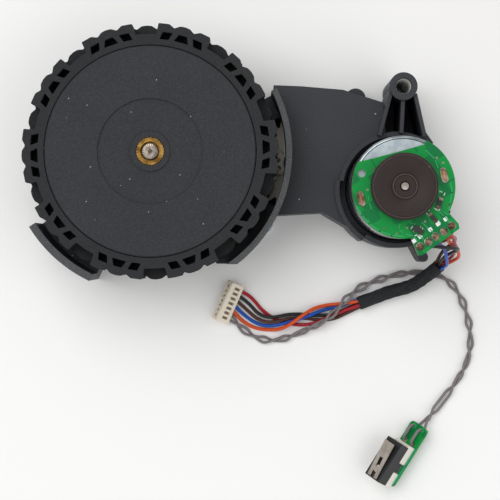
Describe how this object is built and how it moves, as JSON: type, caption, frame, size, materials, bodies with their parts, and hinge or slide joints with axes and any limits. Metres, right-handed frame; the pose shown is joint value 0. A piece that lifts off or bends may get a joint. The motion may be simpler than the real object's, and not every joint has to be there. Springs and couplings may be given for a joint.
{
  "type": "vacuum wheel drive module",
  "caption": "Drive wheel module of a floor-cleaning machine: tyred wheel on a geared swing arm, with motor, encoder board, wiring and drop microswitch.",
  "frame": {"origin": "on the axis of the arm's pivot bore, at the level of the gearbox cover's underside", "axes": "+Z along the pivot bore and the wheel's axle, from the gearbox cover towards the motor's board and out of the table the part lies on; +X from the wheel towards the pivot's side; +Y up in the picture"},
  "size_m": [0.1278, 0.1314, 0.0504],
  "materials": {
    "black_nylon": "dark grey glass-filled nylon, fine texture",
    "board_green": "green solder mask",
    "brass": "turned and knurled",
    "button_white": "moulded button",
    "carbon": "graphite brush",
    "chip_black": "moulded epoxy",
    "contact_tin": "tinned bronze",
    "copper": "enamelled copper",
    "ferrite": "moulded ferrite, satin brown-black",
    "gear_acetal": "natural acetal",
    "hub_plastic": "charcoal ABS, matte speckle",
    "laminated_steel": "stacked electrical sheet",
    "plug_cream": "natural nylon",
    "sleeve_black": "soft tube",
    "solder": "bright tin",
    "steel": "bright turned",
    "switch_black": "moulded case",
    "switch_cream": "moulded base",
    "tyre_rubber": "soft dark rubber",
    "wire_black": "wire insulation",
    "wire_blue": "wire insulation",
    "wire_brown": "wire insulation",
    "wire_grey": "wire insulation",
    "wire_orange": "wire insulation",
    "wire_red": "wire insulation",
    "zinc_steel": "zinc plated, smooth"
  },
  "bodies": {
    "housing": {"gearbox_housing": "black_nylon", "gearbox_cover": "black_nylon", "cover_screws": "zinc_steel", "idler_pins": "steel", "wheel_bearing": "steel", "cover_bearing": "steel", "motor_can": "zinc_steel", "motor_screws": "zinc_steel", "motor_end_plate": "chip_black", "motor_bearings": "brass", "motor_magnets": "ferrite", "motor_brushes": "carbon", "encoder_board": "board_green", "motor_terminals": "copper", "solder_joints": "solder", "board_chips": "chip_black", "hall_sensor": "chip_black", "plug_housing": "plug_cream", "plug_contacts": "contact_tin", "wire_red": "wire_red", "wire_black": "wire_black", "wire_brown": "wire_brown", "wire_blue": "wire_blue", "wire_orange": "wire_orange", "wire_sleeve": "sleeve_black", "wire_pair": "wire_grey", "switch_board": "board_green", "switch_base": "switch_cream", "switch_case": "switch_black", "switch_terminals": "solder", "switch_leads": "wire_grey"},
    "wheel": {"wheel_disc": "hub_plastic", "tyre": "tyre_rubber", "hub_bush": "brass", "wheel_axle": "steel", "output_gear": "gear_acetal"},
    "idler_1": {"idler_gear_1": "gear_acetal"},
    "idler_2": {"idler_gear_2": "gear_acetal"},
    "idler_3": {"idler_gear_3": "gear_acetal"},
    "rotor": {"motor_shaft": "steel", "motor_pinion": "brass", "armature_core": "laminated_steel", "armature_coils": "copper", "commutator": "copper", "encoder_magnet": "ferrite"},
    "switch_lever": {"switch_lever": "steel"},
    "switch_button": {"switch_button": "button_white"}
  },
  "joints": [
    {"name": "motor_spin", "type": "hinge", "parent": "housing", "child": "rotor", "pos_m": [-0.0016, -0.0286, 0], "axis": [0, 0, 1], "continuous": true},
    {"name": "idler_1_spin", "type": "hinge", "parent": "housing", "child": "idler_1", "pos_m": [-0.01466, -0.02667, 0], "axis": [0, 0, 1], "continuous": true},
    {"name": "idler_2_spin", "type": "hinge", "parent": "housing", "child": "idler_2", "pos_m": [-0.03032, -0.02059, 0], "axis": [0, 0, 1], "continuous": true},
    {"name": "idler_3_spin", "type": "hinge", "parent": "housing", "child": "idler_3", "pos_m": [-0.04626, -0.02201, 0], "axis": [0, 0, 1], "continuous": true},
    {"name": "wheel_spin", "type": "hinge", "parent": "housing", "child": "wheel", "pos_m": [-0.07, -0.0185, 0], "axis": [0, 0, 1], "continuous": true},
    {"name": "lever_press", "type": "hinge", "parent": "housing", "child": "switch_lever", "pos_m": [-0.00656, -0.11081, 0.00705], "axis": [-0.6302, 0.3938, -0.6691], "range_deg": [0, 5.5], "stiffness_Nm_per_rad": 0.02, "springref_deg": -2.86},
    {"name": "button_press", "type": "slide", "parent": "housing", "child": "switch_button", "axis": [0.5675, -0.3546, -0.7431], "range_m": [0, 0.00022]}
  ],
  "couplings": [
    {"joint": "idler_1_spin", "follows": "motor_spin", "ratio": -0.375},
    {"joint": "idler_2_spin", "follows": "motor_spin", "ratio": 0.15},
    {"joint": "idler_3_spin", "follows": "motor_spin", "ratio": -0.064286},
    {"joint": "wheel_spin", "follows": "motor_spin", "ratio": 0.021429},
    {"joint": "button_press", "follows": "lever_press", "m_per_rad": 0.0022}
  ]
}
